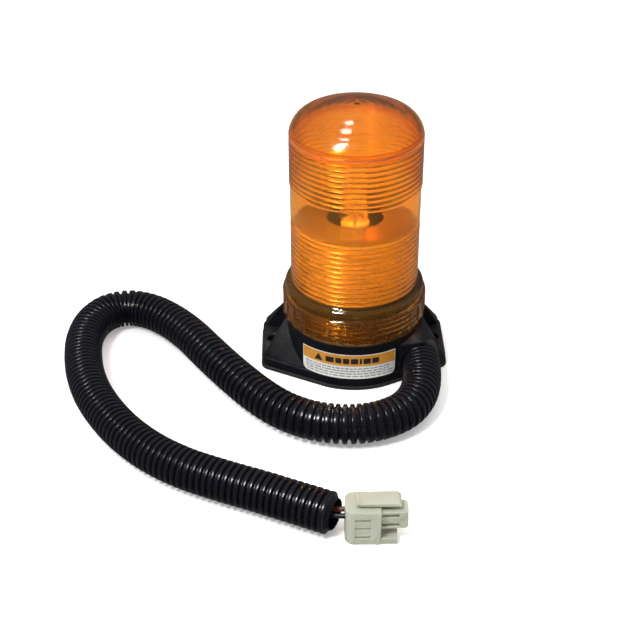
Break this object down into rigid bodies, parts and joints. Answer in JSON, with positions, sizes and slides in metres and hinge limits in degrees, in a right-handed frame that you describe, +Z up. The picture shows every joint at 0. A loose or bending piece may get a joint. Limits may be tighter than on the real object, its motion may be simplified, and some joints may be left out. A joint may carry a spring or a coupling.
{
  "type": "flashing warning beacon",
  "caption": "Amber flashing warning beacon: screw-on ribbed lens, flash tube over a polished reflector, black two-ear base, and a loomed lead that ends in a pale latching connector.",
  "frame": {"origin": "on the axis of the lens, on the surface that the mounting pad stands on", "axes": "+Z up along the lens axis; the two ears lie along X; the lead leaves towards -Y, on the +X side"},
  "size_m": [0.2035, 0.1945, 0.146],
  "materials": {
    "amber_lens": "clear moulded amber, glossy, ribbed",
    "black_housing": "fine satin texture",
    "rubber_pad": "matte",
    "seal_rubber": "matte",
    "zinc_steel": "zinc plated",
    "label_film": "printed vinyl, satin",
    "polished_reflector": "polished, faint turning rings",
    "heat_sink_aluminium": "extruded, satin",
    "white_plastic": "moulded",
    "tube_glass": "clear",
    "tube_base_plastic": "moulded, heat resistant",
    "circuit_board": "solder mask over laminate",
    "capacitor_sleeve": "shrunk sleeve",
    "epoxy_black": "moulded epoxy",
    "ferrite": "sintered",
    "copper_winding": "enamelled copper wire",
    "film_capacitor_resin": "dipped resin",
    "resistor_body": "lacquered",
    "brown_wire": "satin insulation",
    "black_wire": "satin insulation",
    "loom_plastic": "satin, corrugated",
    "connector_nylon": "natural nylon, satin",
    "terminal_brass": "stamped"
  },
  "bodies": {
    "base": {"base_housing": "black_housing", "bottom_plate": "black_housing", "mounting_pad": "rubber_pad", "plate_screw_1": "zinc_steel", "plate_screw_2": "zinc_steel", "plate_screw_3": "zinc_steel", "board_screw_1": "zinc_steel", "board_screw_2": "zinc_steel", "board_screw_3": "zinc_steel", "label": "label_film", "reflector": "polished_reflector", "shroud": "white_plastic", "flash_tube": "tube_glass", "tube_base": "tube_base_plastic", "tube_post": "white_plastic", "anode_lead": "zinc_steel", "cathode_lead": "zinc_steel", "trigger_wire": "zinc_steel", "circuit_board": "circuit_board", "main_capacitor": "capacitor_sleeve", "transformer_core": "ferrite", "transformer_winding": "copper_winding", "trigger_coil": "capacitor_sleeve", "heat_sink": "heat_sink_aluminium", "transistor": "epoxy_black", "film_capacitor": "film_capacitor_resin", "resistor_1": "resistor_body", "resistor_2": "resistor_body", "diode_1": "epoxy_black", "diode_2": "epoxy_black", "cable_grommet": "seal_rubber", "supply_wire_inner": "brown_wire", "ground_wire_inner": "black_wire", "loom": "loom_plastic", "supply_wire_outer": "brown_wire", "ground_wire_outer": "black_wire", "connector_housing": "connector_nylon", "connector_nose": "connector_nylon", "terminal_1": "terminal_brass", "terminal_2": "terminal_brass"},
    "seal": {"lens_seal": "seal_rubber"},
    "lens": {"lens": "amber_lens"},
    "latch": {"connector_latch": "connector_nylon"}
  },
  "joints": [
    {"name": "lens_lift", "type": "slide", "parent": "base", "child": "seal", "axis": [0, 0, 1], "range_m": [0, 0.012]},
    {"name": "lens_turn", "type": "hinge", "parent": "seal", "child": "lens", "pos_m": [0, 0, 0], "axis": [0, 0, 1], "range_deg": [0, 1440]},
    {"name": "latch_rock", "type": "hinge", "parent": "base", "child": "latch", "pos_m": [0.0015, -0.1483, 0.0189], "axis": [0, -1, 0], "range_deg": [0, 5], "stiffness_Nm_per_rad": 0.05, "springref_deg": -1.15}
  ],
  "couplings": [
    {"joint": "lens_lift", "follows": "lens_turn", "m_per_rad": 0.00047746}
  ]
}
